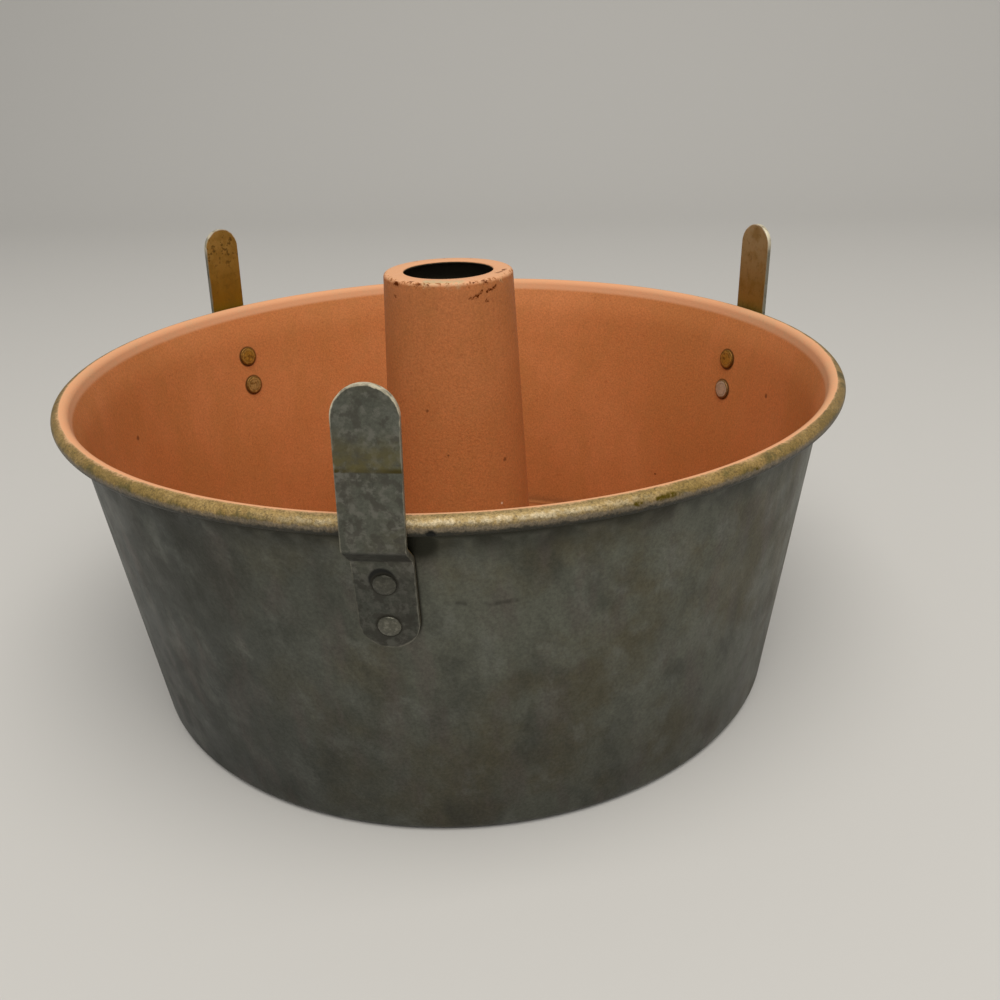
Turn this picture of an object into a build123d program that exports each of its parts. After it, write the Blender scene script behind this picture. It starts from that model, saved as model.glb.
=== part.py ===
from build123d import *
import math
import os

# Angel food cake pan: a tapered ring with a rolled rim and three riveted cooling legs,
# and a loose base with a centre tube that lifts out of the ring with the cake.
#
# Millimetres, +Z up. The origin is on the pan's axis, on the table that the pan stands on,
# and the front leg points along -Y. Each piece of sheet metal is drawn as one line along the
# middle of its thickness and given its gauge, so bends are sized at that middle line
# unless a comment says otherwise.

# Ring: wall, rolled rim and bottom ledge
wall_gauge = 1.3
pan_height = 113.0  # table to the top of the rolled rim
rim_radius = 135.0  # outermost edge of the rolled rim
roll_radius = 2.8  # outside of the roll's cross-section
roll_end_angle = -118.0  # degrees, where the roll's edge stops, from its outermost point
base_radius = 115.8  # inside of the wall, carried down to the table
roll_reach = 4.6  # square to the wall, from its food side, carried up, to the middle of the roll
flare_drop = 12.5  # from the rim's top down to where the wall starts to flare
flare_bend = 14.0
corner_radius = 1.9  # on the food side, between wall and ledge
ledge_width = 10.0  # from the inside of the wall, carried down, to the ledge's edge

# Base plate, which lies loose on the ledge
plate_gauge = 1.3
plate_edge_clearance = 0.6  # from the plate's edge to the corner's curve
plate_edge_round = 0.4

# Centre tube, drawn from one sheet and clamped to the plate by a fold above and a hem below
tube_gauge = 1.0
tube_height = 143.8  # table to the tube's flat top
tube_base_radius = 29.1  # outside of the tube, carried down to the table
tube_top_radius = 22.6  # outside of the tube, carried up to its flat top
tube_lip_width = 6.6  # from the outside of the tube, carried up, in to the hole in its top
tube_corner_radius = 1.4  # outside, between the tube and its flat top
hem_width = 5.0
clamp_bend = 0.3  # against the plate, of the hem and the fold
fold_height = 2.4
fold_edge_run = 0.1  # straight run on the edge of the fold, between its two bends
fold_top_run = 0.25  # straight run on top of the fold, from its edge to the neck's bend
fold_neck_bend = 1.2  # outside, where the tube rises from the fold
tube_seat_clearance = 0.4  # between the tube and the edge of the plate's hole

# Cooling legs: three flat straps, each bent outwards below the rim and then upright
leg_gauge = 1.6
leg_width = 15.8
leg_tube_rise = 2.8  # from the tube's top up to the strap's end, which the turned pan stands on
leg_foot_margin = 7.1  # from the lower rivet down to the strap's lower end
leg_joggle_angle = 44.5  # degrees out from the wall, of the run that passes under the rim
leg_bend = 1.2  # inside of both bends
leg_rim_gap = 0.3  # between the rim's edge and the upright run
leg_roll_gap = 2.6  # between the roll and the run that passes under it
leg_wall_gap = 0.05
leg_edge_round = 0.3
leg_azimuths = {"front": 0.0, "rear_right": 121.5, "rear_left": 236.0}  # degrees from -Y towards +X

# Rivets, two to a leg, with a low crown outside and a flat head against the coating
rivet_drops = {"lower": 21.5, "upper": 8.5}  # below the start of the wall's flare
shank_radius = 2.0
shank_clearance = 0.05
crown_radius = 3.1
crown_lip = 0.5
crown_rise = 0.5
crown_round = 0.25
flat_head_radius = 3.9
flat_head_depth = 0.8
flat_head_round = 0.3

# One overrun for every cut that goes right through
overrun = 5.0

# The wall leans from the base to the rim, and passes the middle of the roll at its reach
roll_center = Vector(rim_radius - roll_radius, pan_height - roll_radius)
lean = roll_center - Vector(base_radius, 0)
wall_taper = math.degrees(math.atan2(lean.X, lean.Y) - math.asin(roll_reach / lean.length))
taper_rise = math.tan(math.radians(wall_taper))
taper_cosine = math.cos(math.radians(wall_taper))

# Heights of the wall's flare, of the rivets below it, and of the ends of the legs
flare_height = pan_height - flare_drop
rivet_heights = {level: flare_height - drop for level, drop in rivet_drops.items()}
leg_foot = rivet_heights["lower"] - leg_foot_margin
leg_top = tube_height + leg_tube_rise


def wall_inside(height):
    """Radius of the wall's food side at a height above the table."""
    return base_radius + height * taper_rise


def wall_offset(height, depth):
    """Radius at a depth, measured square to the wall, outwards from the wall's food side."""
    return wall_inside(height) + depth / taper_cosine


def touch_point(point, center, radius):
    """Where a line from the point touches the left side of a circle above it."""
    reach = center - point
    swing = math.degrees(math.asin(radius / reach.length))
    run = math.sqrt(reach.length**2 - radius**2)
    return point + reach.rotate(Axis.Z, swing).normalized() * run


def crossing(start, along, other_start, other_along):
    """Where two lines in the section cross."""
    reach = (other_start - start).cross(other_along).Z / along.cross(other_along).Z
    return start + along * reach


def spin(line, gauge):
    """Sheet of revolution about the pan's axis, whose middle follows the line."""
    return revolve(Plane.XZ * trace(line, gauge), Axis.Z)


def make_outer_ring():
    """Ledge, wall, flare and rolled rim, spun as one sheet."""
    half_gauge = wall_gauge / 2
    roll_middle = roll_radius - half_gauge
    flare_start = Vector(wall_offset(flare_height, half_gauge), flare_height)
    roll_start = touch_point(flare_start, roll_center, roll_middle)
    spoke = roll_start - roll_center
    roll_start_angle = math.degrees(math.atan2(spoke.Y, spoke.X))
    with BuildLine() as middle:
        FilletPolyline(
            (base_radius - ledge_width, half_gauge),
            (wall_offset(half_gauge, half_gauge), half_gauge),
            flare_start,
            roll_start,
            radius=[corner_radius + half_gauge, flare_bend],
        )
        CenterArc(roll_center, roll_middle, roll_start_angle, roll_end_angle - roll_start_angle)
    return spin(middle.line, wall_gauge)


def plate_radius():
    """Edge of the base plate, just inside the curve between ledge and wall."""
    corner_run = corner_radius * math.tan(math.radians(90 + wall_taper) / 2)
    return wall_inside(wall_gauge) - corner_run - plate_edge_clearance


def tube_outside(height):
    """Outside radius of the tapered tube at a height above the table."""
    return tube_base_radius + (tube_top_radius - tube_base_radius) * height / tube_height


def make_base_plate():
    """Flat disc that lies on the ledge, with a hole for the centre tube."""
    disc = Cylinder(plate_radius(), plate_gauge, align=(Align.CENTER, Align.CENTER, Align.MIN))
    disc = fillet(disc.edges().filter_by(GeomType.CIRCLE), plate_edge_round)
    hole = Cylinder(tube_outside(wall_gauge) + tube_seat_clearance, plate_gauge + overrun)
    return Pos(0, 0, wall_gauge) * (disc - hole)


def make_center_tube():
    """Tapered tube with a pierced flat top, folded above the plate and hemmed below it."""
    half_gauge = tube_gauge / 2
    hem_middle = wall_gauge - half_gauge
    plate_top = wall_gauge + plate_gauge
    neck_radius = tube_outside(wall_gauge)
    fold_round = (fold_height - fold_edge_run) / 2
    fold_edge = neck_radius + fold_round + fold_top_run + fold_neck_bend - half_gauge
    fold_bottom = plate_top + half_gauge
    fold_top = plate_top + fold_height - half_gauge
    clamp_middle = clamp_bend + half_gauge
    fold_middle = fold_round - half_gauge
    middle = FilletPolyline(
        (neck_radius + hem_width, hem_middle),
        (neck_radius - half_gauge, hem_middle),
        (neck_radius - half_gauge, fold_bottom),
        (fold_edge, fold_bottom),
        (fold_edge, fold_top),
        (tube_outside(fold_top) - half_gauge, fold_top),
        (tube_top_radius - half_gauge, tube_height - half_gauge),
        (tube_top_radius - tube_lip_width, tube_height - half_gauge),
        radius=[
            clamp_middle,
            clamp_middle,
            fold_middle,
            fold_middle,
            fold_neck_bend + half_gauge,
            tube_corner_radius - half_gauge,
        ],
    )
    return spin(middle, tube_gauge)


def make_leg():
    """Strap up the wall, out under the rim and straight up, drawn with its radius along +X."""
    half_gauge = leg_gauge / 2
    strap_depth = wall_gauge + leg_wall_gap + half_gauge
    upright = Vector(0, 1)
    up_wall = upright.rotate(Axis.Z, -wall_taper)
    outwards = up_wall.rotate(Axis.Z, -leg_joggle_angle)
    foot = leg_foot - overrun
    strap_foot = Vector(wall_offset(foot, strap_depth), foot)
    tab_top = Vector(rim_radius + leg_rim_gap + half_gauge, leg_top + overrun)
    roll_drop = outwards.rotate(Axis.Z, -90) * (roll_radius + leg_roll_gap + half_gauge)
    under_roll = roll_center + roll_drop
    middle = FilletPolyline(
        strap_foot,
        crossing(strap_foot, up_wall, under_roll, outwards),
        crossing(tab_top, upright, under_roll, outwards),
        tab_top,
        radius=leg_bend + half_gauge,
    )
    strap = extrude(Plane.XZ * trace(middle, leg_gauge), leg_width, both=True)
    outline = Pos(0, (leg_top + leg_foot) / 2) * Rot(0, 0, 90) * SlotOverall(leg_top - leg_foot, leg_width)
    blank = extrude(Plane.YZ * outline, rim_radius + leg_gauge + overrun)
    strap = strap & blank
    long_edges = strap.edges().filter_by(lambda edge: edge.length > leg_gauge)
    return fillet(long_edges, leg_edge_round)


def rivet_seat(height):
    """Plane on the wall's outer side, square to the wall, with its radius along +X."""
    outward = (taper_cosine, 0, -math.sin(math.radians(wall_taper)))
    return Plane(origin=(wall_offset(height, wall_gauge), 0, height), x_dir=(0, 1, 0), z_dir=outward)


def make_rivet(height):
    """Rivet along +Z from its flat head to its crown, whose zero is the wall's outer side."""
    wall_circle = wall_inside(height)
    wall_hollow = wall_circle - math.sqrt(wall_circle**2 - flat_head_radius**2)
    flat_seat = -wall_gauge - wall_hollow
    crown_seat = leg_wall_gap + leg_gauge
    crown_edge = crown_seat + crown_lip
    crown_top = crown_edge + crown_rise
    crown_curve = (crown_radius**2 + crown_rise**2) / (2 * crown_rise)
    flat_rim = (flat_head_radius, flat_seat - flat_head_depth)
    crown_rim = (crown_radius, crown_edge)
    with BuildLine() as outline:
        Polyline(
            (0, crown_top),
            (0, flat_seat - flat_head_depth),
            flat_rim,
            (flat_head_radius, flat_seat),
            (shank_radius, flat_seat),
            (shank_radius, crown_seat),
            (crown_radius, crown_seat),
            crown_rim,
        )
        RadiusArc(crown_rim, (0, crown_top), -crown_curve)
    section = make_face(outline.line)
    section = fillet(section.vertices().sort_by_distance(flat_rim)[0], flat_head_round)
    section = fillet(section.vertices().sort_by_distance(crown_rim)[0], crown_round)
    return revolve(Plane.XZ * section, Axis.Z)


def at_azimuth(azimuth):
    """Turn that carries +X round to a leg's azimuth."""
    return Rot(0, 0, azimuth - 90)


ring = make_outer_ring()
leg = make_leg()
hole_radius = shank_radius + shank_clearance
hole_length = 2 * (wall_gauge + leg_gauge + overrun)
rivet_holes = [rivet_seat(height) * Cylinder(hole_radius, hole_length) for height in rivet_heights.values()]
leg -= rivet_holes

parts = {}
for side, azimuth in leg_azimuths.items():
    turn = at_azimuth(azimuth)
    ring -= [turn * hole for hole in rivet_holes]
    parts[f"leg_{side}"] = turn * leg
    for level, height in rivet_heights.items():
        parts[f"rivet_{side}_{level}"] = turn * rivet_seat(height).location * make_rivet(height)
parts["outer_ring"] = ring
parts["base_plate"] = make_base_plate()
parts["center_tube"] = make_center_tube()

os.makedirs("parts", exist_ok=True)
for name, solid in parts.items():
    export_step(solid, f"parts/{name}.step")
    print(name, round(solid.volume), "mm3")
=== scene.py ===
import math

import bpy
from mathutils import Euler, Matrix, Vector


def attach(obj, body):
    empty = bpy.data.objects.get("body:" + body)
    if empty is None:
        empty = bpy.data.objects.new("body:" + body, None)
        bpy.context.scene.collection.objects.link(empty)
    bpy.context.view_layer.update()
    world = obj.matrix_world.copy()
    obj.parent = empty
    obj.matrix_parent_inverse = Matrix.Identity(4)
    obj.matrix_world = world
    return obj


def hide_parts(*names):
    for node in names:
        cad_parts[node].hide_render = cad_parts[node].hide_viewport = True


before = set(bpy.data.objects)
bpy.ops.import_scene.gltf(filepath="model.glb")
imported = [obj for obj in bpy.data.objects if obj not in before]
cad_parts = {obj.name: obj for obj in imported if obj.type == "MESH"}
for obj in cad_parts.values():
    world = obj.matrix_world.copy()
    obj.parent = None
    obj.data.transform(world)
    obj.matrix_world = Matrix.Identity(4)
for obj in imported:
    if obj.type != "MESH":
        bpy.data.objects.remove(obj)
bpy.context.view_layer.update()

# Angel food cake pan: a spun ring with a rolled rim and three riveted cooling legs, and a
# loose base with a centre tube. Metres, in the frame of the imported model.

MM = 0.001

# Ring
wall_gauge = 1.3 * MM
pan_height = 113.0 * MM
rim_radius = 135.0 * MM
roll_radius = 2.8 * MM
roll_end_angle = -118.0
base_radius = 115.8 * MM
roll_reach = 4.6 * MM
flare_drop = 12.5 * MM
flare_bend = 45.0 * MM
corner_radius = 1.9 * MM
ledge_width = 10.0 * MM
rim_waviness = 0.2 * MM

# Base plate
plate_gauge = 1.3 * MM
plate_edge_clearance = 0.6 * MM
plate_edge_round = 0.4 * MM

# Centre tube
tube_gauge = 1.0 * MM
tube_height = 143.8 * MM
tube_base_radius = 29.1 * MM
tube_top_radius = 22.6 * MM
tube_lip_width = 6.6 * MM
tube_corner_radius = 1.4 * MM
hem_width = 5.0 * MM
clamp_bend = 0.3 * MM
fold_height = 2.4 * MM
fold_edge_run = 0.1 * MM
fold_top_run = 0.25 * MM
fold_neck_bend = 1.2 * MM
tube_seat_clearance = 0.4 * MM

# Cooling legs
leg_gauge = 1.6 * MM
leg_width = 15.8 * MM
leg_tube_rise = 2.8 * MM
leg_foot_margin = 7.1 * MM
leg_joggle_angle = 44.5
leg_bend = 1.2 * MM
leg_rim_gap = 0.3 * MM
leg_roll_gap = 2.6 * MM
leg_wall_gap = 0.05 * MM
leg_edge_round = 0.3 * MM
leg_azimuths = {"front": 0.0, "rear_right": 121.5, "rear_left": 236.0}
leg_leans = {"front": 1.3 * MM, "rear_right": 0.0, "rear_left": -2.0 * MM}
lean_start = 100.0 * MM

# Rivets
rivet_drops = {"lower": 21.5 * MM, "upper": 8.5 * MM}
shank_radius = 2.0 * MM
crown_radius = 3.1 * MM
crown_lip = 0.25 * MM
crown_rise = 0.75 * MM
crown_round = 0.42 * MM
flat_head_radius = 3.9 * MM
flat_head_depth = 0.8 * MM
flat_head_round = 0.3 * MM

# How finely the pieces are spun and the roll is drawn, and the circle that they are spun on
ring_steps = 288
plate_steps = 240
tube_steps = 144
rivet_steps = 48
roll_steps = 44
guide_radius = 100 * MM

# The wall leans from the base to the rim and passes the middle of the roll at its reach
roll_center = Vector((rim_radius - roll_radius, pan_height - roll_radius))
lean = roll_center - Vector((base_radius, 0))
wall_taper = math.atan2(lean.x, lean.y) - math.asin(roll_reach / lean.length)
flare_height = pan_height - flare_drop
rivet_heights = {level: flare_height - drop for level, drop in rivet_drops.items()}
leg_foot = rivet_heights["lower"] - leg_foot_margin
leg_top = tube_height + leg_tube_rise


def wall_offset(height, depth):
    """Radius at a height, at a depth outwards from the wall's food side and square to it."""
    return base_radius + height * math.tan(wall_taper) + depth / math.cos(wall_taper)


def left_of(direction):
    """The direction turned a quarter to the left, in the section."""
    return Vector((-direction.y, direction.x))


def heading(angle):
    """Unit direction at an angle in radians from outwards."""
    return Vector((math.cos(angle), math.sin(angle)))


def mm(x, y, z):
    """Point or shift from its sizes in millimetres."""
    return Vector((x, y, z)) * MM


def cross(first, second):
    return first.x * second.y - first.y * second.x


def crossing(start, along, other_start, other_along):
    """Where two lines in the section cross."""
    return start + along * (cross(other_start - start, other_along) / cross(along, other_along))


def straight_run(start, end, step):
    """Points with their direction from start up to but not including end."""
    run = end - start
    count = max(1, math.ceil(run.length / step))
    return [(start + run * (i / count), run.normalized()) for i in range(count)]


def arc_run(center, radius, start_angle, sweep, count):
    """Points with their direction round an arc, both ends included."""
    side = math.copysign(1, sweep)
    points = []
    for i in range(count + 1):
        spoke = heading(start_angle + sweep * i / count)
        points.append((center + spoke * radius, left_of(spoke) * side))
    return points


def bent_line(corners, bends, step=4 * MM, arc_step=math.radians(9)):
    """Straight runs joined by bends, as points with their direction."""
    line = []
    here = corners[0]
    for corner, after, radius in zip(corners[1:], corners[2:], bends):
        coming = (corner - here).normalized()
        going = (after - corner).normalized()
        turn = math.atan2(cross(coming, going), coming.dot(going))
        run = radius * math.tan(abs(turn) / 2)
        line += straight_run(here, corner - coming * run, step)
        to_center = left_of(coming) * math.copysign(radius, turn)
        center = corner - coming * run + to_center
        start_angle = math.atan2(-to_center.y, -to_center.x)
        count = max(3, math.ceil(abs(turn) / arc_step))
        line += arc_run(center, radius, start_angle, turn, count)[:-1]
        here = corner + going * run
    line += straight_run(here, corners[-1], step)
    line.append((corners[-1], (corners[-1] - here).normalized()))
    return line


def sheet_outline(line, gauge, end_round=0.3 * MM):
    """Closed outline of a sheet whose middle follows the line, with eased edges.
    Each point comes with +1 on the left of the line and -1 on its right."""
    half = gauge / 2

    def end_cap(point, along, side):
        cap = []
        for i in range(1, 6):
            swing = math.pi * i / 6
            edge = left_of(along) * half * math.cos(swing) + along * end_round * math.sin(swing)
            cap.append((point + edge * side, math.copysign(side, side * math.cos(swing))))
        return cap

    left = [(point + left_of(along) * half, 1) for point, along in line]
    right = [(point - left_of(along) * half, -1) for point, along in reversed(line)]
    return left + end_cap(*line[-1], 1) + right + end_cap(*line[0], -1)


# Node trees


class Nodes:
    """A node tree, and short calls for the nodes that it is made of."""

    def __init__(self, tree):
        self.tree = tree

    def add(self, kind, sockets=None, **settings):
        """One node with its settings. Sockets are fed by link or by value."""
        node = self.tree.nodes.new(kind)
        for setting, value in settings.items():
            setattr(node, setting, value)
        for socket, value in (sockets or {}).items():
            self.feed(node.inputs[socket], value)
        return node

    def out(self, kind, sockets=None, **settings):
        """The first output of such a node."""
        return self.add(kind, sockets, **settings).outputs[0]

    def feed(self, socket, value):
        """Links another socket, or sets a value. A colour is written as three numbers."""
        if isinstance(value, bpy.types.NodeSocket):
            self.tree.links.new(value, socket)
        elif isinstance(value, tuple) and socket.type == "RGBA":
            socket.default_value = (*value, 1.0)
        else:
            socket.default_value = value

    def work(self, operation, first, second=0.0):
        return self.out("ShaderNodeMath", {0: first, 1: second}, operation=operation)

    def plus(self, first, *others):
        for other in others:
            first = self.work("ADD", first, other)
        return first

    def times(self, first, *others):
        for other in others:
            first = self.work("MULTIPLY", first, other)
        return first

    def larger(self, first, *others):
        for other in others:
            first = self.work("MAXIMUM", first, other)
        return first

    def vector(self, operation, first, second=(0, 0, 0), output=0):
        node = self.add("ShaderNodeVectorMath", {0: first, 1: second}, operation=operation)
        return node.outputs[output]

    def point(self, x, y, z=0.0):
        return self.out("ShaderNodeCombineXYZ", {0: x, 1: y, 2: z})

    def split(self, point):
        return self.add("ShaderNodeSeparateXYZ", {0: point}).outputs


class Shape(Nodes):
    """A Geometry Nodes tree with named inputs for its sizes."""

    def __init__(self, name, inputs, sizes):
        super().__init__(bpy.data.node_groups.new(name, "GeometryNodeTree"))
        inputs = {**inputs, **{label: "Float" for label in sizes}, "Finish": "Material"}
        face = self.tree.interface
        for label, kind in inputs.items():
            face.new_socket(label, in_out="INPUT", socket_type=f"NodeSocket{kind}")
        face.new_socket("Piece", in_out="OUTPUT", socket_type="NodeSocketGeometry")
        self.given = self.tree.nodes.new("NodeGroupInput").outputs

    def move(self, piece, **places):
        return self.out("GeometryNodeSetPosition", {"Geometry": piece, **places})

    def choose(self, test, otherwise, chosen):
        return self.out("GeometryNodeSwitch", {0: test, 1: otherwise, 2: chosen}, input_type="FLOAT")

    def close(self, piece):
        """Ends the tree in a plain mesh with its finish on it."""
        real = self.out("GeometryNodeRealizeInstances", {"Geometry": piece})
        sockets = {"Geometry": real, "Material": self.given["Finish"]}
        dressed = self.out("GeometryNodeSetMaterial", sockets)
        self.feed(self.tree.nodes.new("NodeGroupOutput").inputs[0], dressed)
        return self.tree


def spun_sheet_tree():
    """Spins an outline, drawn with its radius along X and its height along Z, about the axis."""
    sizes = ["Guide radius", "Waviness", "Wave length", "Wavy above height", "Seed"]
    shape = Shape("spun_sheet", {"Outline": "Geometry", "Steps around": "Int"}, sizes)
    given = shape.given
    section = shape.out("GeometryNodeMeshToCurve", {"Mesh": given["Outline"]})
    drawn = shape.split(shape.out("GeometryNodeInputPosition"))
    from_guide = shape.work("SUBTRACT", drawn["X"], given["Guide radius"])
    section = shape.move(section, Position=shape.point(from_guide, shape.times(drawn["Z"], -1.0)))
    circle = {"Resolution": given["Steps around"], "Radius": given["Guide radius"]}
    guide = shape.out("GeometryNodeCurvePrimitiveCircle", circle)
    sheet = shape.out("GeometryNodeCurveToMesh", {"Curve": guide, "Profile Curve": section})
    closed = shape.out("GeometryNodeMergeByDistance", {"Geometry": sheet, "Distance": 0.001 * MM})
    where = shape.out("GeometryNodeInputPosition")
    place = shape.split(where)
    outwards = shape.vector("NORMALIZE", shape.point(place["X"], place["Y"]))
    per_metre = shape.work("DIVIDE", 1.0, given["Wave length"])
    noise = {"Vector": where, "W": given["Seed"], "Scale": per_metre, "Detail": 1.0}
    wave = shape.out("ShaderNodeTexNoise", noise, noise_dimensions="4D")
    swing = shape.out("ShaderNodeMapRange", {"Value": wave, "To Min": -1.0, "To Max": 1.0})
    wavy_here = shape.work("GREATER_THAN", place["Z"], given["Wavy above height"])
    amount = shape.times(swing, given["Waviness"], wavy_here)
    shift = shape.out("ShaderNodeVectorMath", {0: outwards, "Scale": amount}, operation="SCALE")
    wavy = shape.move(closed, Offset=shift)
    return shape.close(shape.out("GeometryNodeSetShadeSmooth", {"Geometry": wavy}))


def rivet_pattern_tree():
    """Sets a copy of the drawn rivet at each height of each leg, square to the leaning wall."""
    sizes = [f"Azimuth {side}" for side in leg_azimuths]
    sizes += [f"Height {level}" for level in rivet_heights]
    sizes += ["Wall radius at the table", "Wall taper"]
    shape = Shape("rivet_pattern", {"Rivet": "Geometry", "Seed": "Int"}, sizes)
    given = shape.given
    levels = len(rivet_heights)
    number = shape.out("GeometryNodeInputIndex")
    points = shape.out("GeometryNodePoints", {"Count": len(leg_azimuths) * levels})
    leg_number = shape.work("FLOOR", shape.work("DIVIDE", number, levels))
    level_number = shape.work("FLOORED_MODULO", number, levels)
    azimuth = given["Azimuth rear_left"]
    for side, last in {"rear_right": 1.5, "front": 0.5}.items():
        up_to_here = shape.work("LESS_THAN", leg_number, last)
        azimuth = shape.choose(up_to_here, azimuth, given[f"Azimuth {side}"])
    is_lower = shape.work("LESS_THAN", level_number, 0.5)
    height = shape.choose(is_lower, given["Height upper"], given["Height lower"])
    reach = shape.times(height, shape.work("TANGENT", given["Wall taper"]))
    radius = shape.plus(given["Wall radius at the table"], reach)
    place = shape.point(
        shape.times(radius, shape.work("SINE", azimuth)),
        shape.times(radius, shape.times(shape.work("COSINE", azimuth), -1.0)),
        height,
    )
    turn = shape.point(shape.plus(given["Wall taper"], math.pi / 2), 0.0, azimuth)
    draw = {2: 0.0, 3: 1.0, "ID": number, "Seed": given["Seed"]}
    tone = shape.add("FunctionNodeRandomValue", draw, data_type="FLOAT").outputs[1]
    toned = {"Geometry": shape.move(points, Position=place), "Name": "tone", "Value": tone}
    kind = "GeometryNodeStoreNamedAttribute"
    points = shape.out(kind, toned, data_type="FLOAT", domain="POINT")
    copies = {"Points": points, "Instance": given["Rivet"], "Rotation": turn}
    return shape.close(shape.out("GeometryNodeInstanceOnPoints", copies))


def run_tree(piece, tree, sizes):
    """Puts the tree on the piece with its sizes, and keeps what it makes as a plain mesh."""
    step = piece.modifiers.new(tree.name, "NODES")
    step.node_group = tree
    sockets = {s.name: s.identifier for s in tree.interface.items_tree if s.in_out == "INPUT"}
    for label, value in sizes.items():
        step[sockets[label]] = value
    settle(piece)


def settle(piece):
    """Makes the piece's live modifiers its own mesh."""
    graph = bpy.context.evaluated_depsgraph_get()
    made = bpy.data.meshes.new_from_object(
        piece.evaluated_get(graph), preserve_all_data_layers=True, depsgraph=graph
    )
    piece.modifiers.clear()
    piece.data = made
    made.name = piece.name


def face_outwards(piece):
    """Turns the faces of a closed piece outwards, by the sign of its volume."""
    mesh = piece.data
    mesh.calc_loop_triangles()
    volume = 0.0
    for triangle in mesh.loop_triangles:
        a, b, c = (mesh.vertices[i].co for i in triangle.vertices)
        volume += a.dot(b.cross(c))
    if volume < 0:
        mesh.flip_normals()


def new_object(name, data):
    """Object in the scene, at the origin."""
    thing = bpy.data.objects.new(name, data)
    bpy.context.scene.collection.objects.link(thing)
    return thing


def draw_outline(name, outline, coats, closed):
    """Object that holds an outline as edges, with how much coating each point has."""
    mesh = bpy.data.meshes.new(name)
    count = len(outline)
    edges = [(i, (i + 1) % count) for i in range(count if closed else count - 1)]
    mesh.from_pydata([(point.x, 0, point.y) for point in outline], edges, [])
    mesh.attributes.new("coat", "FLOAT", "POINT").data.foreach_set("value", coats)
    return new_object(name, mesh)


def keep(piece, body, slot, *nodes):
    """The piece rides on its body and stands for its nodes."""
    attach(piece, body)
    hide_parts(*nodes)


# Finishes


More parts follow.
